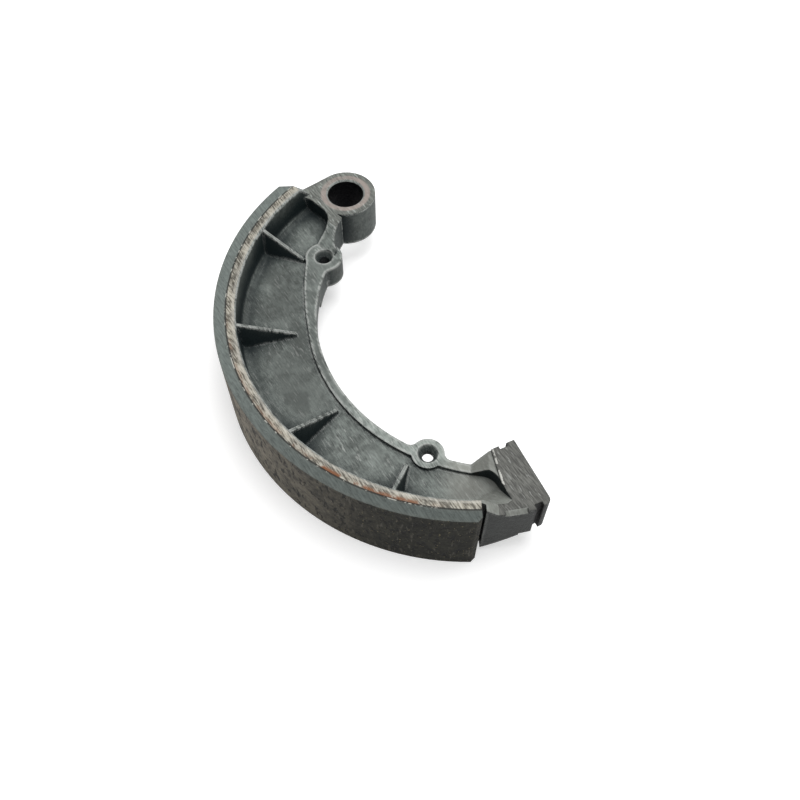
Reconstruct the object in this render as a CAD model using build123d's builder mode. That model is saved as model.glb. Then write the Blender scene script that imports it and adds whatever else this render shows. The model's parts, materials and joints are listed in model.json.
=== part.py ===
"""Drum brake shoe: one aluminium casting and one bonded friction lining.

The drum axis is Z.  The shoe lies flat, its rim and lining standing on z = 0.
The middle of the shoe points to -Y, the pivot end is at -X and the cam end at +X.
Angles are measured about the drum axis from -Y, positive towards the cam end.
"""
from build123d import *
from math import acos, atan, cos, degrees, dist, hypot, radians, sin, sqrt, tan
import os

# ---- drum and lining ----
drum_radius = 100.0            # running surface of the lining
lining_thickness = 4.7
lining_width = 36.0
lining_end_pivot = -65.8       # angles where the bonded face ends
lining_end_cam = 66.6
lead_bevel_angle = 2.5         # the pivot end is bevelled through its whole thickness
heel_bevel = 1.7               # short bevel on the cam end

# ---- rim ----
rim_thickness = 4.0
rim_draft = 0.8                # the rim is thicker where it meets the web
rim_edge_round = 0.7
relief_width = 1.8             # groove next to the lining's cam end
relief_depth = 2.6
front_run_out_pivot = 5.2      # the rim's open side drops to the narrower ends
front_run_out_cam = 6.6
back_run_out = 20.6            # the rim's hidden side rises to them more gently
back_run_out_lead = 3.0        # and starts this far before the lining's end

# ---- web and its inner lip ----
web_front = 23.0
web_back = 18.8
root_fillet = 3.0
web_depth = 30.8               # rim's inner face to hub clearance, mid shoe
hub_centre_x = 4.6             # centre of the hub clearance arc
hub_centre_y = 14.0
lip_front = 24.5
lip_back = 17.3
lip_width = 3.6
flare_start = -8.0             # the lip widens from here towards the pivot side
flare_end = -44.0
flare_width = 10.3             # its width there, at the first gusset's foot

# ---- gussets: angle, and reach from the rim's inner face ----
gussets = ((-48.8, 18.6), (-16.1, 22.9), (18.7, 22.7), (47.2, 16.3))
gusset_crest = 1.3
gusset_base = 7.4
gusset_drop = 0.7              # crest to the rim's edge

# ---- pivot end ----
end_front = 30.2               # both ends are narrower than the rim
end_back = 11.7
pivot_angle = -77.3
boss_radius = 13.4
boss_inset = 1.2               # boss to the rim's outer face
pivot_bore_radius = 8.05
bore_chamfer = 0.7
neck_angle = -67.7             # wall between the neck and the first pocket
rim_end_pivot = -69.0          # the rim's outer face ends, the neck is a little slimmer
waist_angle = -73.0
waist_inset = 0.9              # neck to the rim's outer face, at its waist
pocket_depth_pivot = 19.3      # rim's inner face to the band between the boss and the ear
bridge_top_end = -64.3         # its top falls from here
bridge_fall = 9.6              # over this length
bridge_foot = -36.0            # its thick back ends here
first_pocket_end = -44.8       # past the first gusset
foot_back = 13.7               # hidden side of that thick back and of the ear
nook_radius = 13.0             # long hollow between the boss and the ear
nook_length = 6.2              # between the centres of its two round ends
nook_turn = -46.3
nook_reach_x = 24.4            # its middle, seen from the pivot centre
nook_reach_y = -0.5
pocket_corner = 10.0
neck_corner = 2.5

# ---- spring ears ----
ear_pivot_angle = -46.9        # both about the centre of the hub clearance arc
ear_pivot_outset = 3.9
ear_pivot_radius = 8.0
ear_cam_angle = 41.6
ear_cam_outset = 0.1
ear_cam_radius = 6.3
spring_hole_radius = 2.2
spring_sink_radius = 4.0
spring_sink_depth = 2.6
ear_blend = 3.0

# ---- cam end ----
rim_end_cam = 76.0             # the rim runs into the head
cam_face_offset = 12.0         # cam face to the line through the drum axis
head_length = 27.9             # cam face, along the line to the drum axis
flange_inset = 1.4             # flange to the rim's outer face
flange_width = 3.3             # cam face to the clip groove
flange_round = 2.2
clip_groove_width = 3.2
clip_groove_depth = 2.6
clip_notch_depth = 1.3
land_width = 9.6               # milled flat, at the inner edge
land_skew = 12.6               # lean of its far edge
land_step = 0.8                # cast surface below the milled one
last_pocket_reach = 17.6       # rim's inner face to the lip of the last pocket
last_pocket_start = 57.0
last_pocket_middle = 66.0
last_pocket_floor = 21.3       # its floor climbs to the outer wall at the head
last_pocket_corner = 7.0
corner_share = 0.95            # of the milled edge that this corner may take up
lip_ramp_start = 65.5          # the lip climbs to the milled flat from here
lip_ramp_length = 6.5
outer_edge_bevel = 1.6         # worn outer edge between rim and clip groove
cut_clearance = 5.8            # air above the ends that the pocket's cut takes in

# ---- worked out from the sizes above ----
rim_outer = drum_radius - lining_thickness
rim_inner = rim_outer - rim_thickness
rim_root = rim_inner - rim_draft
hub_radius = rim_inner - web_depth + hub_centre_y
band_radius = rim_inner - pocket_depth_pivot
web_inside = hub_radius - hypot(hub_centre_x, hub_centre_y) - lip_width
middle_plane = (end_front + end_back) / 2
last_lip_radius = rim_inner - last_pocket_reach
face_y = -cam_face_offset
head_outer_x = sqrt(rim_outer**2 - face_y**2)
flange_x = head_outer_x - flange_inset
head_inner_x = flange_x - head_length
land_y = face_y - land_width
lip_end_angle = degrees(acos((hub_centre_y - land_y) / (hub_radius + lip_width)))


def polar(radius, angle, centre_x=0.0, centre_y=0.0):
    """Point at an angle from -Y about a centre."""
    return (centre_x + radius * sin(radians(angle)), centre_y - radius * cos(radians(angle)))


def hub_polar(outset, angle):
    """Point outside the hub clearance arc."""
    return polar(hub_radius + outset, angle, hub_centre_x, hub_centre_y)


def section_plane(angle):
    """Upright plane through the drum axis: x runs outwards, y runs up."""
    x, y = polar(1.0, angle)
    return Plane(origin=(0, 0, 0), x_dir=(x, y, 0), z_dir=(y, -x, 0))


def face_plane(radius, angle):
    """Upright plane across a radius: x runs towards the cam end, y runs up."""
    x, y = polar(radius, angle)
    along = radians(angle)
    return Plane(origin=(x, y, 0), x_dir=(cos(along), sin(along), 0), z_dir=(sin(along), -cos(along), 0))


def ring_sector(inner, outer, start, end, centre_x=0.0, centre_y=0.0):
    """Flat ring sector between two angles about a centre."""
    middle = (start + end) / 2
    centre = (centre_x, centre_y)
    with BuildSketch() as sector:
        with BuildLine():
            ThreePointArc(polar(outer, start, *centre), polar(outer, middle, *centre), polar(outer, end, *centre))
            Line(polar(outer, end, *centre), polar(inner, end, *centre))
            ThreePointArc(polar(inner, end, *centre), polar(inner, middle, *centre), polar(inner, start, *centre))
            Line(polar(inner, start, *centre), polar(outer, start, *centre))
        make_face()
    return sector.sketch


def near(vertices, point, reach):
    """Vertices of a sketch within reach of a point."""
    return [v for v in vertices if dist((v.X, v.Y), point) < reach]


pivot_centre = polar(rim_outer - boss_inset - boss_radius, pivot_angle)
ear_pivot = hub_polar(ear_pivot_outset, ear_pivot_angle)
ear_cam = hub_polar(ear_cam_outset, ear_cam_angle)
hub_centre = (hub_centre_x, hub_centre_y)
nook_centre = (pivot_centre[0] + nook_reach_x, pivot_centre[1] + nook_reach_y)

# ---- rim and web: one T-section turned about the drum axis ----
with BuildPart() as rim_and_web:
    with BuildSketch(section_plane(rim_end_pivot)) as tee:
        Polygon(
            (rim_outer, 0),
            (rim_outer, lining_width),
            (rim_inner, lining_width),
            (rim_root, web_front),
            (web_inside, web_front),
            (web_inside, web_back),
            (rim_root, web_back),
            (rim_inner, 0),
            align=None,
        )
        roots = [v for v in tee.vertices() if abs(v.X - rim_root) < rim_draft / 2]
        fillet(roots, root_fillet)
        rim_edges = [v for v in tee.vertices() if abs(v.X - rim_inner) < rim_draft / 2]
        fillet(rim_edges, rim_edge_round)
    revolve(axis=Axis.Z, revolution_arc=rim_end_cam - rim_end_pivot)
    with BuildSketch():
        with Locations(hub_centre):
            Circle(hub_radius)
        with Locations(nook_centre):
            SlotCenterToCenter(nook_length, 2 * nook_radius, rotation=nook_turn)
    extrude(amount=lining_width, mode=Mode.SUBTRACT)

# ---- inner lip with its two spring ears ----
with BuildPart() as lip:
    with BuildSketch(Plane.XY.offset(lip_back)) as lip_plan:
        add(ring_sector(hub_radius, hub_radius + lip_width, ear_pivot_angle, lip_end_angle, *hub_centre))
        with BuildLine():
            start = hub_polar(lip_width * 0.85, flare_start)
            end = hub_polar(flare_width, flare_end)
            TangentArc(start, end, tangent=polar(-1.0, flare_start + 90))
            Line(end, hub_polar(lip_width / 4, flare_end))
            ThreePointArc(
                hub_polar(lip_width / 4, flare_end),
                hub_polar(lip_width / 4, (flare_end + flare_start) / 2),
                hub_polar(lip_width / 4, flare_start),
            )
            Line(hub_polar(lip_width / 4, flare_start), start)
        make_face()
        with Locations(ear_cam):
            Circle(ear_cam_radius)
        with Locations(ear_pivot):
            Circle(ear_pivot_radius)
        for ear, radius in ((ear_pivot, ear_pivot_radius), (ear_cam, ear_cam_radius)):
            corners = [
                v
                for v in lip_plan.vertices()
                if abs(dist((v.X, v.Y), hub_centre) - hub_radius) < 0.01
                and abs(dist((v.X, v.Y), ear) - radius) < 0.01
            ]
            fillet(corners, ear_blend)
    extrude(amount=lip_front - lip_back)

# ---- pivot end: the band from the boss to the first ear, then the neck and the boss ----
with BuildPart() as pivot_end:
    with BuildSketch() as pocket_plan:
        add(ring_sector(band_radius, rim_inner, neck_angle, first_pocket_end))
        fillet(near(pocket_plan.vertices(), polar(rim_inner, neck_angle), 0.01), neck_corner)
        fillet(near(pocket_plan.vertices(), polar(band_radius, neck_angle), 0.01), pocket_corner)
    with BuildSketch(Plane.XY.offset(middle_plane)):
        add(ring_sector(web_inside, rim_outer - relief_depth, rim_end_pivot, gussets[0][0]))
        add(pocket_plan.sketch, mode=Mode.SUBTRACT)
    extrude(amount=end_front - middle_plane)
    # the band's top falls to the ear
    with BuildSketch(face_plane(web_inside, bridge_top_end)):
        Polygon(
            (0, end_front),
            (bridge_fall, lip_front),
            (3 * bridge_fall, lip_front),
            (3 * bridge_fall, lining_width),
            (0, lining_width),
            align=None,
        )
    extrude(amount=rim_inner - web_inside, mode=Mode.SUBTRACT)
    # its thick back runs on to a blunt end past the ear
    with BuildSketch(Plane.XY.offset(foot_back)):
        add(ring_sector(web_inside, band_radius, rim_end_pivot, bridge_foot))
    extrude(amount=middle_plane - foot_back)
    with BuildSketch():
        with Locations(hub_centre):
            Circle(hub_radius)
        with Locations(nook_centre):
            SlotCenterToCenter(nook_length, 2 * nook_radius, rotation=nook_turn)
    extrude(amount=lining_width, mode=Mode.SUBTRACT)
    with BuildSketch(Plane.XY.offset(end_back)):
        with Locations(pivot_centre):
            Circle(boss_radius)
        Polygon(
            pivot_centre,
            polar(rim_outer - boss_inset, pivot_angle),
            polar(rim_outer - waist_inset, waist_angle),
            polar(rim_outer, rim_end_pivot),
            polar(rim_outer, neck_angle),
            polar(band_radius + pocket_corner, neck_angle),
            align=None,
        )
    extrude(amount=end_front - end_back)

# ---- ear boss behind the pivot-side ear ----
with BuildPart() as ear_back:
    with BuildSketch(Plane.XY.offset(foot_back)):
        with Locations(ear_pivot):
            Circle(ear_pivot_radius)
    extrude(amount=lip_back - foot_back)

# ---- gussets: drafted both ways from the parting plane ----
gusset_parts = []
for angle, reach in gussets:
    with BuildPart() as gusset:
        stations = (
            (rim_inner - reach, lip_front, lip_back, gusset_crest + gusset_drop),
            (rim_inner + gusset_drop, lining_width - gusset_drop, gusset_drop, gusset_base),
        )
        for radius, top, bottom, base in stations:
            with BuildSketch(face_plane(radius, angle)):
                Polygon(
                    (-gusset_crest / 2, top),
                    (-base / 2, middle_plane),
                    (-gusset_crest / 2, bottom),
                    (gusset_crest / 2, bottom),
                    (base / 2, middle_plane),
                    (gusset_crest / 2, top),
                    align=None,
                )
        loft(ruled=True)
    gusset_parts.append(gusset.part)

# ---- last pocket: its floor climbs from the web to the outer wall at the head ----
land_direction = (cos(radians(land_skew)), -sin(radians(land_skew)))
land_corner = (head_inner_x, land_y)
land_middle = (
    head_inner_x + head_length / 2 * land_direction[0],
    land_y + head_length / 2 * land_direction[1],
)
with BuildPart() as last_pocket:
    with BuildSketch(Plane.XY.offset(end_back)):
        add(ring_sector(last_lip_radius, rim_outer, last_pocket_start, rim_end_cam))
    extrude(amount=end_front - end_back)
    stations = (
        (last_pocket_start - 1, rim_root - root_fillet, web_front, web_front + root_fillet),
        (last_pocket_middle, last_lip_radius + last_pocket_reach / 2, last_pocket_floor, end_front - root_fillet),
        (rim_end_cam + 1, last_lip_radius, last_pocket_floor, end_front + root_fillet),
    )
    for angle, slope_start, floor, slope_top in stations:
        with BuildSketch(section_plane(angle)):
            Polygon(
                (last_lip_radius - root_fillet, floor),
                (slope_start, floor),
                (rim_inner, slope_top),
                (rim_inner, end_front + cut_clearance),
                (last_lip_radius - root_fillet, end_front + cut_clearance),
                align=None,
            )
    loft(mode=Mode.SUBTRACT)

# ---- lip of the last pocket: climbs to the milled flat and rounds the pocket's corner ----
with BuildPart() as lip_ramp:
    with BuildSketch(Plane.XY.offset(lip_back)) as ramp_plan:
        add(ring_sector(hub_radius, hub_radius + lip_width, ear_cam_angle + ear_blend, lip_end_angle, *hub_centre))
        Polygon(
            land_corner,
            land_middle,
            (head_inner_x + head_length / 2, land_y + land_width / 4),
            (head_inner_x, land_y + land_width / 4),
            align=None,
        )
        # the head's inner side runs down until it meets the hub clearance arc
        Polygon(
            (head_inner_x, hub_centre_y - sqrt(hub_radius**2 - (head_inner_x - hub_centre_x) ** 2)),
            hub_polar(lip_width / 2, lip_end_angle),
            (head_inner_x, land_y + land_width / 4),
            align=None,
        )
        inner_corner = [
            v
            for v in ramp_plan.vertices()
            if abs(dist((v.X, v.Y), hub_centre) - hub_radius - lip_width) < 0.01
            and v.Y > land_y - land_width / 2
        ]
        corner_room = min(dist((v.X, v.Y), land_middle) for v in inner_corner)
        corner_turn = radians(lip_end_angle + land_skew)
        fillet(inner_corner, min(last_pocket_corner, corner_share * corner_room / tan(corner_turn / 2)))
    extrude(amount=end_front - land_step - lip_back)
    with BuildSketch(face_plane(last_lip_radius, lip_ramp_start)):
        Polygon(
            (-head_length, lip_front),
            (0, lip_front),
            (lip_ramp_length, end_front - land_step),
            (2 * lip_ramp_length, end_front - land_step),
            (2 * lip_ramp_length, lining_width),
            (-head_length, lining_width),
            align=None,
        )
    extrude(amount=head_length, both=True, mode=Mode.SUBTRACT)

# ---- cam-end head: milled block with the flange and the clip groove round it ----
with BuildPart() as head:
    with BuildSketch(Plane.XY.offset(end_back)) as head_plan:
        flange_root_y = face_y - flange_width
        flange_root_x = sqrt(rim_outer**2 - flange_root_y**2)
        with BuildLine():
            Polyline(
                (head_inner_x, face_y),
                (flange_x, face_y),
                (flange_x, flange_root_y),
                (flange_root_x, flange_root_y),
            )
            ThreePointArc(
                (flange_root_x, flange_root_y),
                polar(rim_outer, rim_end_cam + 1),
                polar(rim_outer, rim_end_cam - 1),
            )
            Polyline(
                polar(rim_outer, rim_end_cam - 1),
                land_middle,
                land_corner,
                (head_inner_x, face_y),
            )
        make_face()
        fillet(near(head_plan.vertices(), (flange_x, face_y), 0.01), flange_round)
        groove_y = flange_root_y - clip_groove_width / 2
        with Locations((flange_root_x, groove_y)):
            Rectangle(2 * clip_groove_depth, clip_groove_width, mode=Mode.SUBTRACT)
        with Locations((head_inner_x, groove_y)):
            Rectangle(2 * clip_notch_depth, clip_groove_width, mode=Mode.SUBTRACT)
    extrude(amount=end_front - end_back)

with BuildPart() as shoe_casting:
    add(rim_and_web.part)
    add(last_pocket.part)
    add(lip.part)
    add(lip_ramp.part)
    add(head.part)
    add(pivot_end.part)
    add(ear_back.part)
    for piece in gusset_parts:
        add(piece)
    # both ends: the rim drops to the end's height on the open side and on the hidden side
    ends = ((lining_end_pivot, -1, front_run_out_pivot), (lining_end_cam, 1, front_run_out_cam))
    for angle, direction, front_run_out in ends:
        with BuildSketch(face_plane(rim_inner, angle)):
            Polygon(
                (0, lining_width),
                (direction * front_run_out, end_front),
                (direction * boss_radius * 4, end_front),
                (direction * boss_radius * 4, 2 * lining_width),
                (0, 2 * lining_width),
                align=None,
            )
            Polygon(
                (-direction * back_run_out_lead, 0),
                (direction * (back_run_out - back_run_out_lead), end_back),
                (direction * boss_radius * 4, end_back),
                (direction * boss_radius * 4, -lining_width),
                (-direction * back_run_out_lead, -lining_width),
                align=None,
            )
        extrude(amount=boss_radius * 2, both=True, mode=Mode.SUBTRACT)
    # relief groove at the lining's cam end
    with BuildSketch(Plane.XY) as relief:
        add(
            ring_sector(
                rim_outer - relief_depth,
                drum_radius,
                lining_end_cam,
                lining_end_cam + degrees(relief_width / rim_outer),
            )
        )
    extrude(amount=lining_width, mode=Mode.SUBTRACT)
    # worn outer edge of the head
    with BuildSketch(section_plane(rim_end_cam - 4)):
        Polygon(
            (rim_outer - outer_edge_bevel, end_front),
            (rim_outer + outer_edge_bevel, end_front + 2 * outer_edge_bevel),
            (rim_outer + outer_edge_bevel, end_front - outer_edge_bevel),
            (rim_outer, end_front - outer_edge_bevel),
            align=None,
        )
    revolve(axis=Axis.Z, revolution_arc=5, mode=Mode.SUBTRACT)
    # pivot bore, chamfered at both faces
    bore_mouths = (
        Plane(origin=(*pivot_centre, end_front)),
        Plane(origin=(*pivot_centre, end_back), z_dir=(0, 0, -1)),
    )
    with Locations(*bore_mouths):
        CounterSinkHole(pivot_bore_radius, pivot_bore_radius + bore_chamfer, counter_sink_angle=90)
    # spring holes, sunk from both faces
    sink_angle = 2 * degrees(atan((spring_sink_radius - spring_hole_radius) / spring_sink_depth))
    for ear, back in ((ear_pivot, foot_back), (ear_cam, lip_back)):
        with Locations(Plane(origin=(*ear, lip_front)), Plane(origin=(*ear, back), z_dir=(0, 0, -1))):
            CounterSinkHole(spring_hole_radius, spring_sink_radius, counter_sink_angle=sink_angle)


# ---- friction lining ----
with BuildPart() as friction_lining:
    with BuildSketch(Plane.XY) as lining_plan:
        with BuildLine():
            toe = lining_end_pivot + lead_bevel_angle
            heel = lining_end_cam - degrees(heel_bevel / drum_radius)
            middle = (toe + heel) / 2
            ThreePointArc(polar(drum_radius, toe), polar(drum_radius, middle), polar(drum_radius, heel))
            Polyline(
                polar(drum_radius, heel),
                polar(drum_radius - heel_bevel, lining_end_cam),
                polar(rim_outer, lining_end_cam),
            )
            ThreePointArc(
                polar(rim_outer, lining_end_cam),
                polar(rim_outer, middle),
                polar(rim_outer, lining_end_pivot),
            )
            Line(polar(rim_outer, lining_end_pivot), polar(drum_radius, toe))
        make_face()
    extrude(amount=lining_width)

os.makedirs("parts", exist_ok=True)
shoe_casting.part.label = "shoe_casting"
export_step(shoe_casting.part, "parts/shoe_casting.step")
friction_lining.part.label = "friction_lining"
export_step(friction_lining.part, "parts/friction_lining.step")
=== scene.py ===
import json
from math import radians
from types import SimpleNamespace

import bmesh
import bpy
from mathutils import Matrix, Vector


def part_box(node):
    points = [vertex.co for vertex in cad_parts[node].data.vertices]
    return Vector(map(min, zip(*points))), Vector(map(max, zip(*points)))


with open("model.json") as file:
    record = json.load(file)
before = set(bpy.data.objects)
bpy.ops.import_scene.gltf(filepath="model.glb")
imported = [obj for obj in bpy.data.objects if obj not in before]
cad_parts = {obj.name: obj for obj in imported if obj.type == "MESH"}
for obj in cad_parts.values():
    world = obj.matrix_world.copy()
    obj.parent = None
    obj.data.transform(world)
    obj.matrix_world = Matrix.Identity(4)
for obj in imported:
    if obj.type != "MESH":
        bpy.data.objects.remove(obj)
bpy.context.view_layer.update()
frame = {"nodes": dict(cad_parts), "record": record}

bl_info = {
    "name": "Brake Shoe Dressing",
    "version": (1, 0, 0),
    "blender": (4, 5, 0),
    "location": "View3D > Sidebar > Brake Shoe",
    "description": "Metal and friction finishes and a studio for a cast drum brake shoe",
    "category": "Object",
}

MM = 0.001
FLOAT, VECTOR = "NodeSocketFloat", "NodeSocketVector"
CASTING = frame["nodes"]["shoe_casting"]
LINING = frame["nodes"]["friction_lining"]

# heights and radii, from the frame where it gives them
RIM_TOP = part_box("friction_lining")[1][2]          # open side of rim and lining
END_TOP = RIM_TOP - 5.8 * MM                       # milled plane of boss, neck and head
LIP_TOP = RIM_TOP - 11.5 * MM                      # inner lip and spring ears
RIM_OUTER = -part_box("shoe_casting")[0][1]          # the bond between rim and lining
RIM_INNER = RIM_OUTER - 4.0 * MM

# the bore: its wall, painted near black as shade, the worn ring round it, and how far the boss finish reaches
# from its axis
BORE_WALL = (9.0 * MM, 8.6 * MM)
RING_INNER, RING_OUTER = 9.0 * MM, 10.6 * MM
BOSS_REACH = (40.0 * MM, 24.0 * MM)

# places in plan
PIVOT = next(mount["pos_m"] for mount in frame["record"]["mounts"] if mount["name"] == "pivot_bore")[:2]
CLIP_GROOVE = (92.0 * MM, -16.9 * MM)
BURR_START = (67.0 * MM, -21.6 * MM)
BURR_ACROSS = (0.218, 0.976, 0)                    # square to the milled edge that carries the burr

# stretches of the shoe, in degrees about the drum axis, from the middle towards the cam end
MIDDLE_POCKETS = (-50, 16)
CAM_POCKET = (55, 63)
HEAD = (64, 67)
RELIEF_CUT = (66.4, 67.4)
STAIN_MIDDLE = (-12, 28)
STAIN_CAM_SIDE = (34, 50)
STREAK_TURN = radians(-8.0)

# colours of small details
WARM_FLOOR = (0.265, 0.262, 0.235)
BOSS_TINT = (1.68, 1.76, 1.75)
BORE_RING = (0.21, 0.165, 0.15)
# painted highlight along the head's burr
BURR_GLINT = (0.55, 0.55, 0.51)
FILM_HATCH = (0.50, 0.48, 0.42)
FILM_GAP = (0.045, 0.040, 0.031)
FILM_RIDGE = (0.46, 0.45, 0.41)
# painted shade in the relief cut
CUT_SHADE_BLACK = (0.006, 0.006, 0.005)
# painted shade in the clip groove
GROOVE_SHADE_BLACK = (0.004, 0.004, 0.004)
# painted shade inside the bore
BORE_SHADE_BLACK = (0.003, 0.003, 0.004)
PIT_BLACK = (0.008, 0.008, 0.008)
BOND_DARK = (0.02, 0.02, 0.018)
BOND_GLINT = (0.55, 0.54, 0.49)


# ---------------------------------------------------------------- node helpers
def add_node(tree, kind, links=None, values=None, **settings):
    """A shader node with its settings, its plain values and its incoming links."""
    item = tree.nodes.new(kind)
    for name, value in settings.items():
        setattr(item, name, value)
    for name, value in (values or {}).items():
        item.inputs[name].default_value = value
    for name, source in (links or {}).items():
        tree.links.new(source, item.inputs[name])
    return item


def math_node(tree, operation, first, second=None, clamp=False):
    """A Math node of sockets or plain numbers; returns its output."""
    item = add_node(tree, "ShaderNodeMath", operation=operation, use_clamp=clamp)
    for index, source in enumerate((first, second)):
        if isinstance(source, (int, float)):
            item.inputs[index].default_value = source
        elif source is not None:
            tree.links.new(source, item.inputs[index])
    return item.outputs[0]


def times(tree, first, *others):
    """The product of sockets and plain numbers."""
    for other in others:
        first = math_node(tree, "MULTIPLY", first, other)
    return first


def line_of(tree, value, slope, start):
    """start + slope * value."""
    return math_node(tree, "ADD", times(tree, value, slope), start)


def vector_math(tree, operation, vector, fixed):
    """A Vector Math node of a socket and a fixed vector; returns its outputs."""
    return add_node(
        tree, "ShaderNodeVectorMath", operation=operation, links={0: vector}, values={1: fixed}
    ).outputs


def ramp(tree, source, low, high, smooth=True):
    """0 at low and 1 at high, whichever is the larger."""
    item = add_node(
        tree,
        "ShaderNodeMapRange",
        interpolation_type="SMOOTHSTEP" if smooth else "LINEAR",
        links={"Value": source},
        values={"From Min": low, "From Max": high},
    )
    return item.outputs["Result"]


def band(tree, source, low, high, edge):
    """1 between low and high, fading to 0 over edge on both sides."""
    return times(tree, ramp(tree, source, low - edge, low), ramp(tree, source, high + edge, high))


def angle_ramp(tree, angle, stretch):
    """0 at the first and 1 at the second of two angles in degrees."""
    return ramp(tree, angle, radians(stretch[0]), radians(stretch[1]))


def angle_band(tree, angle, stretch, edge):
    """1 between two angles in degrees, fading over edge."""
    return band(tree, angle, radians(stretch[0]), radians(stretch[1]), radians(edge))


def mix_colour(tree, factor, first, second, blend="MIX"):
    """A colour Mix node of sockets or plain colours; returns its output."""
    item = add_node(tree, "ShaderNodeMix", data_type="RGBA", blend_type=blend)
    for index, source in ((0, factor), (6, first), (7, second)):
        if isinstance(source, (int, float)):
            item.inputs[index].default_value = source
        elif isinstance(source, bpy.types.NodeSocket):
            tree.links.new(source, item.inputs[index])
        else:
            item.inputs[index].default_value = (*source, 1.0)
    return item.outputs[2]


def laid_over(tree, base, top, mask, strength):
    """A colour laid over another through a mask, at a strength."""
    return mix_colour(tree, times(tree, mask, strength), base, top)


def multiplied(tree, base, tint):
    """A colour times a tint."""
    return mix_colour(tree, 1.0, base, tint, "MULTIPLY")


def scaled(colour, factor):
    """A plain colour made lighter or darker."""
    return tuple(channel * factor for channel in colour)


def grey(level):
    """An even grey."""
    return (level, level, level)


def noise(tree, vector, scale, detail, roughness=0.55, distortion=0.0):
    """A 3-D noise value around 0.5."""
    item = add_node(
        tree,
        "ShaderNodeTexNoise",
        links={"Vector": vector},
        values={"Scale": scale, "Detail": detail, "Roughness": roughness, "Distortion": distortion},
    )
    return item.outputs["Fac"]


def patches(tree, vector, scale, detail, low, high, roughness=0.55):
    """A mask that is 1 where a noise passes high, and 0 where it hasn't reached low."""
    return ramp(tree, noise(tree, vector, scale, detail, roughness), low, high)


def stretched(tree, vector, turn, stretch):
    """Coordinates turned about z and scaled by axis, for streaks."""
    item = add_node(
        tree, "ShaderNodeMapping", links={"Vector": vector}, values={"Rotation": (0, 0, turn), "Scale": stretch}
    )
    return item.outputs["Vector"]


def distance_from(tree, position, centre):
    """Distance from a centre in plan, or in space if the centre has a height."""
    if len(centre) == 2:
        position = vector_math(tree, "MULTIPLY", position, (1, 1, 0))["Vector"]
        centre = (*centre, 0)
    return vector_math(tree, "DISTANCE", position, centre)["Value"]


def new_group(name, inputs, outputs):
    """An empty shader node group with named sockets; returns tree, inputs, outputs."""
    tree = bpy.data.node_groups.new(name, "ShaderNodeTree")
    for socket, kind, default in inputs:
        item = tree.interface.new_socket(name=socket, in_out="INPUT", socket_type=kind)
        if default is not None:
            item.default_value = default
    for socket, kind in outputs:
        tree.interface.new_socket(name=socket, in_out="OUTPUT", socket_type=kind)
    return tree, tree.nodes.new("NodeGroupInput").outputs, tree.nodes.new("NodeGroupOutput").inputs


def use_group(tree, name, links=None, values=None):
    """A group placed in a material with its own values; returns its outputs."""
    return add_node(
        tree, "ShaderNodeGroup", node_tree=bpy.data.node_groups[name], links=links, values=values
    ).outputs


def put_out(tree, out, **sources):
    """Links values to a group's outputs, by name."""
    for name, source in sources.items():
        tree.links.new(source, out[name])


# ---------------------------------------------------------------- shared effects
def build_drum_coordinates():
    """Radius and angle about the drum axis, height, and how far the face looks up."""
    tree, _, out = new_group(
        "drum_coordinates",
        [],
        [("Position", VECTOR), ("Radius", FLOAT), ("Angle", FLOAT), ("Height", FLOAT), ("Upward", FLOAT)],
    )
    where = tree.nodes.new("ShaderNodeTexCoord").outputs
    split = add_node(tree, "ShaderNodeSeparateXYZ", links={0: where["Object"]}).outputs
    flat = add_node(tree, "ShaderNodeCombineXYZ", links={"X": split["X"], "Y": split["Y"]}).outputs[0]
    radius = add_node(tree, "ShaderNodeVectorMath", operation="LENGTH", links={0: flat}).outputs["Value"]
    angle = math_node(tree, "ARCTAN2", split["X"], times(tree, split["Y"], -1.0))
    facing = add_node(tree, "ShaderNodeSeparateXYZ", links={0: where["Normal"]}).outputs["Z"]
    put_out(tree, out, Position=where["Object"], Radius=radius, Angle=angle, Height=split["Z"], Upward=facing)


def build_streaks():
    """Fine scratches in two close directions, and a few longer marks."""
    tree, given, out = new_group(
        "streaks",
        [("Position", VECTOR, None), ("Turn", FLOAT, 0.0)],
        [("Streaks", FLOAT), ("Marks", FLOAT)],
    )
    turn = add_node(tree, "ShaderNodeCombineXYZ", links={"Z": given["Turn"]}).outputs[0]
    turned = add_node(
        tree,
        "ShaderNodeVectorRotate",
        rotation_type="EULER_XYZ",
        links={"Vector": given["Position"], "Rotation": turn},
    ).outputs[0]
    fine = noise(tree, stretched(tree, turned, 0.0, (260, 1700, 700)), 1.0, 3.0, 0.6)
    sparse = noise(tree, stretched(tree, turned, 0.12, (230, 1250, 600)), 1.0, 2.0, 0.5, 0.3)
    put_out(tree, out, Streaks=fine, Marks=ramp(tree, sparse, 0.60, 0.70))


def build_cast_grain():
    """The pebbly skin of a casting or a moulding: colour mottling and a bump height."""
    tree, given, out = new_group(
        "cast_grain",
        [("Position", VECTOR, None), ("Size", FLOAT, 1.0)],
        [("Mottle", FLOAT), ("Height", FLOAT)],
    )
    sized = add_node(
        tree, "ShaderNodeVectorMath", operation="SCALE", links={0: given["Position"], "Scale": given["Size"]}
    ).outputs[0]
    broad = noise(tree, sized, 110.0, 4.0, 0.5)
    middle = noise(tree, sized, 420.0, 4.0, 0.6)
    fine = noise(tree, sized, 1500.0, 3.0, 0.6)
    mottle = math_node(tree, "ADD", times(tree, broad, 0.5), times(tree, middle, 0.5))
    height = math_node(tree, "ADD", times(tree, middle, 0.7), times(tree, fine, 0.3))
    put_out(tree, out, Mottle=mottle, Height=height)


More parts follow.
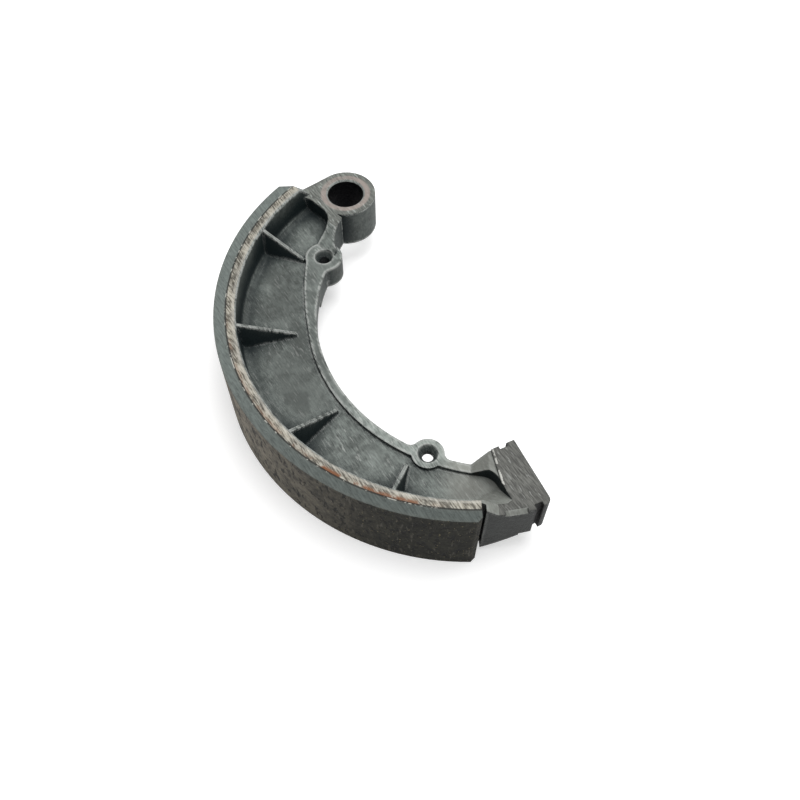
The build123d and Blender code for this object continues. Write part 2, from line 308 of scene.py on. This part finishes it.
def build_edge_and_crevice():
    """A softened normal, a mask of the outer edges, for wear and painted highlight, and a mask of open surface.
    """
    tree, given, out = new_group(
        "edge_and_crevice",
        [("Edge Radius", FLOAT, 0.8 * MM), ("Wear Radius", FLOAT, 2.0 * MM), ("Reach", FLOAT, 12.0 * MM)],
        [("Normal", VECTOR), ("Edge", FLOAT), ("Open", FLOAT)],
    )
    soft = add_node(tree, "ShaderNodeBevel", samples=4, links={"Radius": given["Edge Radius"]}).outputs[0]
    worn = add_node(tree, "ShaderNodeBevel", samples=6, links={"Radius": given["Wear Radius"]}).outputs[0]
    true = tree.nodes.new("ShaderNodeNewGeometry").outputs["True Normal"]
    along = add_node(
        tree, "ShaderNodeVectorMath", operation="DOT_PRODUCT", links={0: worn, 1: true}
    ).outputs["Value"]
    bent = ramp(tree, math_node(tree, "SUBTRACT", 1.0, along), 0.003, 0.035)
    open_sky = add_node(
        tree, "ShaderNodeAmbientOcclusion", samples=6, only_local=True, links={"Distance": given["Reach"]}
    ).outputs["AO"]
    put_out(tree, out, Normal=soft, Edge=times(tree, bent, ramp(tree, open_sky, 0.50, 0.78)), Open=open_sky)


def build_shared_groups():
    """Every effect that more than one material uses."""
    build_drum_coordinates()
    build_streaks()
    build_cast_grain()
    build_edge_and_crevice()


# ---------------------------------------------------------------- materials
def new_material(name, roughness, specular=0.5):
    """A material with a Principled BSDF; returns it, its tree and that shader."""
    material = bpy.data.materials.new(name)
    material.use_nodes = True
    tree = material.node_tree
    shader = tree.nodes["Principled BSDF"]
    shader.inputs["Roughness"].default_value = roughness
    shader.inputs["Specular IOR Level"].default_value = specular
    return material, tree, shader


def assign(target, material):
    """Puts a material in every slot of an object."""
    for slot in target.material_slots:
        slot.material = material
    if not target.material_slots:
        target.data.materials.append(material)


def read_surface(tree, grain_size, edge_radius):
    """The shared effects placed in a material, by name."""
    here = use_group(tree, "drum_coordinates")
    at_point = {"Position": here["Position"]}
    grain = use_group(tree, "cast_grain", links=at_point, values={"Size": grain_size})
    streaks = use_group(tree, "streaks", links=at_point, values={"Turn": STREAK_TURN})
    relief = use_group(tree, "edge_and_crevice", values={"Edge Radius": edge_radius})
    return SimpleNamespace(
        position=here["Position"],
        radius=here["Radius"],
        angle=here["Angle"],
        height=here["Height"],
        facing=here["Upward"],
        mottle=grain["Mottle"],
        grain_height=grain["Height"],
        streaks=streaks["Streaks"],
        marks=streaks["Marks"],
        soft_normal=relief["Normal"],
        edge=relief["Edge"],
        open=relief["Open"],
    )


def link_bump(tree, shader, at, height, depth, strength):
    """Bump over the softened edges."""
    bump = add_node(
        tree,
        "ShaderNodeBump",
        links={"Height": height, "Normal": at.soft_normal},
        values={"Distance": depth, "Strength": strength},
    )
    tree.links.new(bump.outputs["Normal"], shader.inputs["Normal"])


# ---------------------------------------------------------------- settings
def colour_setting(name, description, default):
    """A colour in the settings."""
    return bpy.props.FloatVectorProperty(
        name=name, description=description, subtype="COLOR", size=3, min=0.0, max=1.0, default=default
    )


def length_setting(name, description, default):
    """A length in the settings."""
    return bpy.props.FloatProperty(
        name=name, description=description, subtype="DISTANCE", unit="LENGTH", default=default, precision=5
    )


def level_setting(name, description, default):
    """A power, a strength or another plain number in the settings."""
    return bpy.props.FloatProperty(name=name, description=description, default=default)


def place_setting(name, description, default):
    """A point in the settings."""
    return bpy.props.FloatVectorProperty(
        name=name, description=description, subtype="TRANSLATION", size=3, unit="LENGTH", default=default
    )


class CastingLook(bpy.types.PropertyGroup):
    """Colours and grain of the aluminium casting"""

    cast_colour: colour_setting("Cast skin", "Colour of the as-cast surface", (0.150, 0.168, 0.156))
    # Near-black colour for dust and painted shade on pocket walls and in corners; also used for the dark bond
    # joint.
    dust_and_shade_colour: colour_setting("Brake dust", "Dust in the pockets and on the walls", (0.004, 0.009, 0.010))
    # Painted shade: a darker colour for upright walls.
    wall_shade_colour: colour_setting("Outer walls", "Skin of the upright outer walls", (0.050, 0.058, 0.054))
    # Bright colour for edges and crests, partly wear and partly painted highlight; also used for the scratch
    # marks.
    worn_and_highlight_colour: colour_setting("Worn edge", "Bright metal on edges and crests", (0.42, 0.435, 0.415))
    milled_colour: colour_setting("Milled metal", "Colour of the milled ends", (0.080, 0.081, 0.074))
    rim_colour: colour_setting("Rim edge", "Tan film on the rim's edge", (0.265, 0.248, 0.205))
    stain_colour: colour_setting("Stain", "Rust and glue stain along the bond", (0.150, 0.058, 0.022))
    grain_depth: length_setting("Grain depth", "Height of the cast grain", 0.00072)


class LiningLook(bpy.types.PropertyGroup):
    """Colours and pits of the friction compound"""

    face_colour: colour_setting("Running face", "Worn friction surface", (0.016, 0.016, 0.013))
    # The running face's paler colour, used towards the pivot end, for the scores and along the edges.
    pale_face_colour: colour_setting("Dusty face", "The running face where dust lies on it", (0.165, 0.153, 0.130))
    side_colour: colour_setting("Side band", "Ground edge of the lining", (0.150, 0.172, 0.162))
    fleck_colour: colour_setting("Brass flecks", "Metal chips in the compound", (0.26, 0.22, 0.13))
    pit_depth: length_setting("Pit depth", "Depth of the pits", 0.0005)


class StudioSetup(bpy.types.PropertyGroup):
    """Camera, lamps and floor"""

    eye: place_setting("Camera", "Camera position", (0.18846, -0.11787, 0.30343))
    aim: place_setting("Aim", "Point at the middle of the view", (0.0245944, -0.0393570, 0.018))
    lens: level_setting("Lens", "Focal length in millimetres", 38.2806)
    roll: bpy.props.FloatProperty(
        name="Roll", description="Camera roll", subtype="ANGLE", unit="ROTATION", default=radians(0.366)
    )
    key_place: place_setting("Key place", "Where the large overhead lamp hangs", (-0.06, 0.10, 0.80))
    key_power: level_setting("Key", "Power of the large overhead lamp", 5.6)
    fill_place: place_setting("Fill place", "Where the side lamp stands", (0.7, 0.2, 0.5))
    fill_power: level_setting("Fill", "Power of the side lamp", 0.8)
    lamp_aim: place_setting("Lamp aim", "Point that both lamps face", (0.0, -0.04, 0.02))
    lamp_size: length_setting("Lamp size", "Side of each square lamp", 0.6)
    ambient: level_setting("Ambient", "Strength of the even light all round", 0.42)
    floor_glow: level_setting("Floor glow", "Light that keeps the floor pale", 0.42)


# ---------------------------------------------------------------- casting
def read_casting(tree):
    """The casting's surface with the masks that its finishes share."""
    at = read_surface(tree, grain_size=1.0, edge_radius=0.8 * MM)
    at.upward = ramp(tree, at.facing, 0.90, 0.98)
    at.steep = ramp(tree, math_node(tree, "ABSOLUTE", at.facing), 0.75, 0.30)
    at.rim_top = times(tree, ramp(tree, at.height, RIM_TOP - 0.3 * MM, RIM_TOP - 0.1 * MM), at.upward)
    end_plane = band(tree, at.height, END_TOP - 0.1 * MM, END_TOP + 0.1 * MM, 0.1 * MM)
    at.end_top = times(tree, end_plane, at.upward)
    lip_plane = band(tree, at.height, LIP_TOP - 0.2 * MM, LIP_TOP + 0.2 * MM, 0.1 * MM)
    at.lip_top = times(tree, lip_plane, at.upward)
    at.near_cam = angle_ramp(tree, at.angle, CAM_POCKET)
    at.at_head = angle_ramp(tree, at.angle, HEAD)
    at.tone = math_node(
        tree,
        "ADD",
        times(tree, ramp(tree, at.mottle, 0.41, 0.59, smooth=False), 0.5),
        times(tree, ramp(tree, at.streaks, 0.36, 0.64, smooth=False), 0.5),
    )
    return at


def cast_skin(tree, look, at):
    """Mottled grey skin, darker in the middle pockets, warmer at the cam end and paler on the lip."""
    base = look.cast_colour
    skin = mix_colour(tree, at.tone, scaled(base, 0.42), scaled(base, 1.55))
    pale_clouds = patches(tree, at.position, 48.0, 2.0, 0.45, 0.70)
    skin = laid_over(tree, skin, scaled(base, 1.8), pale_clouds, 0.50)
    sooty_clouds = patches(tree, at.position, 85.0, 3.0, 0.49, 0.38)
    skin = laid_over(tree, skin, scaled(base, 0.35), sooty_clouds, 0.5)
    skin = laid_over(tree, skin, look.worn_and_highlight_colour, at.marks, 0.45)
    skin = laid_over(tree, skin, WARM_FLOOR, at.near_cam, 0.45)
    middle = angle_band(tree, at.angle, MIDDLE_POCKETS, 9)
    away_from_walls = line_of(tree, ramp(tree, at.open, 0.90, 0.985), 0.45, 0.12)
    skin = laid_over(tree, skin, scaled(base, 0.26), middle, away_from_walls)
    return mix_colour(tree, at.lip_top, skin, multiplied(tree, skin, grey(1.42)))


def add_dust_and_shade(tree, look, at, skin):
    """Painted shade on the upright walls, darkest on the head; dust and painted shade on the pocket walls, in
    corners and along the rim near the pivot.
    """
    # Painted shade: upright walls darker, and darker still on the head's sides.
    wall = mix_colour(tree, at.at_head, look.wall_shade_colour, scaled(look.wall_shade_colour, 0.18))
    wall = multiplied(tree, wall, mix_colour(tree, at.tone, grey(0.55), grey(1.5)))
    skin = laid_over(tree, skin, wall, at.steep, line_of(tree, at.at_head, 0.14, 0.82))

    # Dust and painted shade: steep pocket walls inside the rim, shut-in corners, and floors near the rim
    # towards the pivot.
    inside_rim = ramp(tree, at.radius, RIM_OUTER - 1.2 * MM, RIM_OUTER - 2.2 * MM)
    pocket_wall_dust_and_shade = times(tree, at.steep, inside_rim, ramp(tree, at.open, 0.96, 0.84))
    corner_dust_and_shade = times(tree, ramp(tree, at.open, 0.88, 0.56), line_of(tree, at.near_cam, -0.7, 1.0))
    near_rim_dust_and_shade = times(
        tree,
        ramp(tree, at.radius, RIM_INNER - 9.0 * MM, RIM_INNER - 0.5 * MM),
        angle_ramp(tree, at.angle, (25, -60)),
        ramp(tree, at.height, LIP_TOP - 0.3 * MM, LIP_TOP - 0.9 * MM),
    )
    # dust holds dust and painted shade together.
    dust = math_node(tree, "MAXIMUM", times(tree, pocket_wall_dust_and_shade, 0.98), corner_dust_and_shade)
    dust = math_node(tree, "MAXIMUM", dust, times(tree, near_rim_dust_and_shade, 0.8))
    return mix_colour(tree, dust, skin, look.dust_and_shade_colour)


def add_wear_highlight_and_shade(tree, look, at, skin):
    """Wear and painted highlight along edges and crests; painted shade, black, in the relief cut and the clip
    groove.
    """
    # Edges and crests lightened: wear and painted highlight.
    worn = times(tree, at.edge, ramp(tree, at.tone, 0.12, 0.72), line_of(tree, at.at_head, -0.65, 0.9))
    skin = mix_colour(tree, worn, skin, look.worn_and_highlight_colour)
    # Painted shade: the steep walls of the relief cut by the head are painted black.
    relief_cut_shade = times(tree, angle_band(tree, at.angle, RELIEF_CUT, 0.4), at.steep)
    skin = laid_over(tree, skin, CUT_SHADE_BLACK, relief_cut_shade, 0.9)
    # Painted shade: black on the steep walls round the clip groove.
    clip_groove_shade = ramp(tree, distance_from(tree, at.position, CLIP_GROOVE), 3.4 * MM, 2.2 * MM)
    return laid_over(tree, skin, GROOVE_SHADE_BLACK, clip_groove_shade, at.steep)


def burr_highlight_line(tree, at):
    """A broken line of painted highlight along the burr on the head's milled edge."""
    from_start = vector_math(tree, "SUBTRACT", at.position, (*BURR_START, 0))["Vector"]
    across = vector_math(tree, "DOT_PRODUCT", from_start, BURR_ACROSS)["Value"]
    return times(
        tree,
        band(tree, across, -0.35 * MM, 0.35 * MM, 0.25 * MM),
        patches(tree, at.position, 420.0, 3.0, 0.47, 0.54),
        angle_ramp(tree, at.angle, (71, 73)),
        ramp(tree, at.radius, 89.0 * MM, 87.0 * MM),
    )


def milled_metal(tree, look, at):
    """Tool-marked ends: darker head, paler boss with a ring round the bore, and a painted highlight along the
    burr.
    """
    base = look.milled_colour
    tool_marks = ramp(tree, at.streaks, 0.38, 0.62, smooth=False)
    metal = mix_colour(tree, tool_marks, scaled(base, 0.55), scaled(base, 1.50))
    dull_clouds = patches(tree, at.position, 70.0, 3.0, 0.38, 0.66)
    metal = laid_over(tree, metal, scaled(base, 0.62), dull_clouds, 0.4)
    metal = laid_over(tree, metal, look.worn_and_highlight_colour, at.marks, 0.28)
    from_pivot = distance_from(tree, at.position, (*PIVOT, END_TOP))
    ring = band(tree, from_pivot, RING_INNER, RING_OUTER, 0.9 * MM)
    metal = laid_over(tree, metal, BORE_RING, times(tree, ring, ramp(tree, at.mottle, 0.35, 0.55)), 0.6)
    boss = ramp(tree, from_pivot, *BOSS_REACH)
    metal = mix_colour(tree, boss, metal, multiplied(tree, metal, BOSS_TINT))
    # Painted highlight glinting along the burr.
    return laid_over(tree, metal, BURR_GLINT, burr_highlight_line(tree, at), 0.7)


def rim_film(tree, look, at):
    """Tan film on the rim's edge, hatched, brighter towards the pockets."""
    base = look.rim_colour
    film = mix_colour(
        tree, patches(tree, at.position, 160.0, 4.0, 0.38, 0.62), scaled(base, 1.25), scaled(base, 0.45)
    )
    film = laid_over(tree, film, scaled(base, 0.45), angle_ramp(tree, at.angle, (10, 45)), 0.5)
    film = laid_over(tree, film, FILM_HATCH, ramp(tree, at.streaks, 0.50, 0.60), 0.5)
    film = laid_over(tree, film, FILM_GAP, ramp(tree, at.streaks, 0.48, 0.40), 0.75)
    ridge = band(tree, at.radius, RIM_INNER + 0.3 * MM, RIM_INNER + 1.3 * MM, 0.5 * MM)
    return laid_over(tree, film, FILM_RIDGE, ridge, 0.35)


def add_bond_stain(tree, look, at, colour):
    """Stain beside the bond, strongest towards the cam end, and the dark joint itself."""
    near_bond = ramp(tree, at.radius, RIM_OUTER - 2.1 * MM, RIM_OUTER - 0.7 * MM)
    middle = angle_band(tree, at.angle, STAIN_MIDDLE, 8)
    cam_side = angle_band(tree, at.angle, STAIN_CAM_SIDE, 10)
    amount = math_node(tree, "ADD", times(tree, middle, 0.35), cam_side, clamp=True)
    spread = times(tree, patches(tree, at.position, 120.0, 4.0, 0.42, 0.54, roughness=0.65), amount)
    colour = mix_colour(tree, times(tree, near_bond, at.rim_top, spread), colour, look.stain_colour)
    joint = times(tree, ramp(tree, at.radius, RIM_OUTER - 0.45 * MM, RIM_OUTER - 0.2 * MM), at.rim_top)
    return laid_over(tree, colour, look.dust_and_shade_colour, joint, 0.8)


class BRAKESHOE_OT_casting(bpy.types.Operator):
    """Gives the aluminium casting its cast, milled, dusty and stained finish"""

    bl_idname = "brakeshoe.casting"
    bl_label = "Finish casting"

    def execute(self, context):
        look = context.scene.casting_look
        material, tree, shader = new_material("cast_aluminium", roughness=0.6, specular=0.25)
        at = read_casting(tree)
        skin = add_wear_highlight_and_shade(tree, look, at, add_dust_and_shade(tree, look, at, cast_skin(tree, look, at)))
        colour = mix_colour(tree, at.end_top, skin, milled_metal(tree, look, at))
        colour = mix_colour(tree, at.rim_top, colour, rim_film(tree, look, at))
        colour = add_bond_stain(tree, look, at, colour)
        # Painted shade: the bore's wall painted near black, and made fully metallic so that it loses its
        # specular as well.
        bore = times(tree, at.steep, ramp(tree, distance_from(tree, at.position, PIVOT), *BORE_WALL))
        colour = mix_colour(tree, bore, colour, BORE_SHADE_BLACK)
        tree.links.new(colour, shader.inputs["Base Color"])

        machined = math_node(tree, "MAXIMUM", at.rim_top, at.end_top)
        tree.links.new(line_of(tree, machined, -0.14, 0.62), shader.inputs["Roughness"])
        metallic = math_node(tree, "ADD", times(tree, machined, 0.2), bore, clamp=True)
        tree.links.new(metallic, shader.inputs["Metallic"])
        height = math_node(
            tree,
            "ADD",
            times(tree, at.grain_height, math_node(tree, "SUBTRACT", 1.0, machined)),
            times(tree, at.streaks, times(tree, machined, 0.35)),
        )
        link_bump(tree, shader, at, height, depth=look.grain_depth, strength=0.7)
        assign(CASTING, material)
        return {"FINISHED"}


# ---------------------------------------------------------------- lining
def running_face(tree, look, at, pits):
    """Paler on the pivot side, dark towards the cam end, with scores, pits and metal chips."""
    face = mix_colour(tree, angle_ramp(tree, at.angle, (52, 4)), look.face_colour, look.pale_face_colour)
    tone = ramp(tree, at.mottle, 0.40, 0.60, smooth=False)
    face = multiplied(tree, face, mix_colour(tree, tone, grey(0.50), (1.60, 1.56, 1.48)))
    score_lines = stretched(tree, at.position, 0.0, (700, 700, 170))
    scores = patches(tree, score_lines, 1.0, 3.0, 0.56, 0.70, roughness=0.6)
    face = laid_over(tree, face, scaled(look.pale_face_colour, 1.1), scores, 0.30)
    face = laid_over(tree, face, PIT_BLACK, pits, 0.8)
    chips = patches(tree, at.position, 1100.0, 2.0, 0.68, 0.73, roughness=0.4)
    return laid_over(tree, face, look.fleck_colour, chips, 0.5)


def side_band(tree, look, at):
    """Ground side, darker towards the cam end, with a dark, glinting joint at the bond."""
    side = mix_colour(
        tree, angle_ramp(tree, at.angle, (-25, 45)), look.side_colour, scaled(look.side_colour, 0.62)
    )
    tone = ramp(tree, at.streaks, 0.30, 0.70, smooth=False)
    side = multiplied(tree, side, mix_colour(tree, tone, grey(0.70), grey(1.24)))
    joint = ramp(tree, at.radius, RIM_OUTER + 0.5 * MM, RIM_OUTER + 0.15 * MM)
    glints = patches(tree, at.position, 330.0, 2.0, 0.56, 0.62)
    joint_colour = mix_colour(tree, glints, BOND_DARK, BOND_GLINT)
    return laid_over(tree, side, joint_colour, joint, 0.85)


class BRAKESHOE_OT_lining(bpy.types.Operator):
    """Gives the friction lining its pitted running face and ground sides"""

    bl_idname = "brakeshoe.lining"
    bl_label = "Finish lining"

    def execute(self, context):
        look = context.scene.lining_look
        material, tree, shader = new_material("friction_compound", roughness=0.85, specular=0.2)
        at = read_surface(tree, grain_size=1.3, edge_radius=0.4 * MM)
        on_side = ramp(tree, math_node(tree, "ABSOLUTE", at.facing), 0.6, 0.9)
        pit_marks = stretched(tree, at.position, 0.3, (520, 520, 210))
        pits = patches(tree, pit_marks, 1.0, 2.0, 0.42, 0.36, roughness=0.5)
        colour = mix_colour(tree, on_side, running_face(tree, look, at, pits), side_band(tree, look, at))
        # Edges lightened a little: wear and painted highlight.
        colour = laid_over(tree, colour, look.pale_face_colour, at.edge, 0.10)
        tree.links.new(colour, shader.inputs["Base Color"])
        height = math_node(tree, "SUBTRACT", at.grain_height, times(tree, pits, 0.8))
        link_bump(tree, shader, at, height, depth=look.pit_depth, strength=0.6)
        assign(LINING, material)
        return {"FINISHED"}


# ---------------------------------------------------------------- studio
def add_camera(scene, setup):
    """The camera, aimed and rolled."""
    camera = bpy.data.cameras.new("camera")
    camera.sensor_width = 36.0
    camera.sensor_fit = "HORIZONTAL"
    camera.lens = setup.lens
    camera.clip_start = 0.01
    view = bpy.data.objects.new("camera", camera)
    eye, aim = Vector(setup.eye), Vector(setup.aim)
    turn = (aim - eye).to_track_quat("-Z", "Y").to_matrix().to_4x4()
    view.matrix_world = Matrix.Translation(eye) @ turn @ Matrix.Rotation(setup.roll, 4, "Z")
    scene.collection.objects.link(view)
    scene.camera = view


def seen_directly(tree):
    """1 for camera, glossy and transmission rays."""
    path = tree.nodes.new("ShaderNodeLightPath").outputs
    seen = math_node(tree, "MAXIMUM", path["Is Camera Ray"], path["Is Glossy Ray"])
    return math_node(tree, "MAXIMUM", seen, path["Is Transmission Ray"])


def add_floor(scene, setup):
    """A pale floor that keeps its shadow."""
    mesh = bpy.data.meshes.new("floor")
    shape = bmesh.new()
    bmesh.ops.create_grid(shape, x_segments=1, y_segments=1, size=3.0)
    shape.to_mesh(mesh)
    shape.free()
    floor = bpy.data.objects.new("floor", mesh)
    scene.collection.objects.link(floor)
    material, tree, shader = new_material("pale_floor", roughness=0.9)
    shader.inputs["Base Color"].default_value = (0.8, 0.8, 0.8, 1.0)
    glow = add_node(tree, "ShaderNodeEmission", values={"Color": (1, 1, 1, 1), "Strength": setup.floor_glow})
    both = add_node(tree, "ShaderNodeAddShader", links={0: shader.outputs[0], 1: glow.outputs[0]})
    pick = add_node(
        tree, "ShaderNodeMixShader", links={0: seen_directly(tree), 1: shader.outputs[0], 2: both.outputs[0]}
    )
    tree.links.new(pick.outputs[0], tree.nodes["Material Output"].inputs["Surface"])
    assign(floor, material)


def light_world(scene, setup):
    """Even light all round, white where it is seen."""
    world = bpy.data.worlds.new("world")
    scene.world = world
    world.use_nodes = True
    sky = world.node_tree
    ground = sky.nodes["Background"]
    ground.inputs["Color"].default_value = (1, 1, 1, 1)
    path = sky.nodes.new("ShaderNodeLightPath").outputs
    seen = math_node(sky, "MAXIMUM", path["Is Camera Ray"], path["Is Glossy Ray"])
    sky.links.new(line_of(sky, seen, 1.0 - setup.ambient, setup.ambient), ground.inputs["Strength"])


def add_lamp(scene, name, place, aim, size, power):
    """A square area lamp aimed at a point."""
    lamp = bpy.data.lights.new(name, "AREA")
    lamp.shape = "SQUARE"
    lamp.size = size
    lamp.energy = power
    item = bpy.data.objects.new(name, lamp)
    item.location = place
    item.rotation_euler = (Vector(aim) - Vector(place)).to_track_quat("-Z", "Y").to_euler()
    scene.collection.objects.link(item)


class BRAKESHOE_OT_studio(bpy.types.Operator):
    """Camera, pale floor and soft lamps"""

    bl_idname = "brakeshoe.studio"
    bl_label = "Build studio"

    def execute(self, context):
        scene = context.scene
        setup = scene.studio_setup
        scene.view_settings.view_transform = "Standard"
        add_camera(scene, setup)
        add_floor(scene, setup)
        light_world(scene, setup)
        add_lamp(scene, "key_lamp", setup.key_place, setup.lamp_aim, setup.lamp_size, setup.key_power)
        add_lamp(scene, "fill_lamp", setup.fill_place, setup.lamp_aim, setup.lamp_size, setup.fill_power)
        return {"FINISHED"}


class BRAKESHOE_PT_panel(bpy.types.Panel):
    """Lists the steps in the sidebar"""

    bl_idname = "BRAKESHOE_PT_panel"
    bl_label = "Brake Shoe"
    bl_space_type = "VIEW_3D"
    bl_region_type = "UI"
    bl_category = "Brake Shoe"

    def draw(self, context):
        for step in STEPS:
            self.layout.operator(step.bl_idname)


STEPS = (BRAKESHOE_OT_casting, BRAKESHOE_OT_lining, BRAKESHOE_OT_studio)
SETTINGS = (("casting_look", CastingLook), ("lining_look", LiningLook), ("studio_setup", StudioSetup))


def register():
    """Registers the settings, the steps and the panel."""
    for name, group in SETTINGS:
        bpy.utils.register_class(group)
        setattr(bpy.types.Scene, name, bpy.props.PointerProperty(type=group))
    for step in STEPS:
        bpy.utils.register_class(step)
    bpy.utils.register_class(BRAKESHOE_PT_panel)


def unregister():
    """Takes everything out again."""
    bpy.utils.unregister_class(BRAKESHOE_PT_panel)
    for step in reversed(STEPS):
        bpy.utils.unregister_class(step)
    for name, group in reversed(SETTINGS):
        delattr(bpy.types.Scene, name)
        bpy.utils.unregister_class(group)


def main():
    """Runs every step in order."""
    register()
    build_shared_groups()
    bpy.ops.brakeshoe.studio()
    bpy.ops.brakeshoe.casting()
    bpy.ops.brakeshoe.lining()


if __name__ == "__main__":
    main()
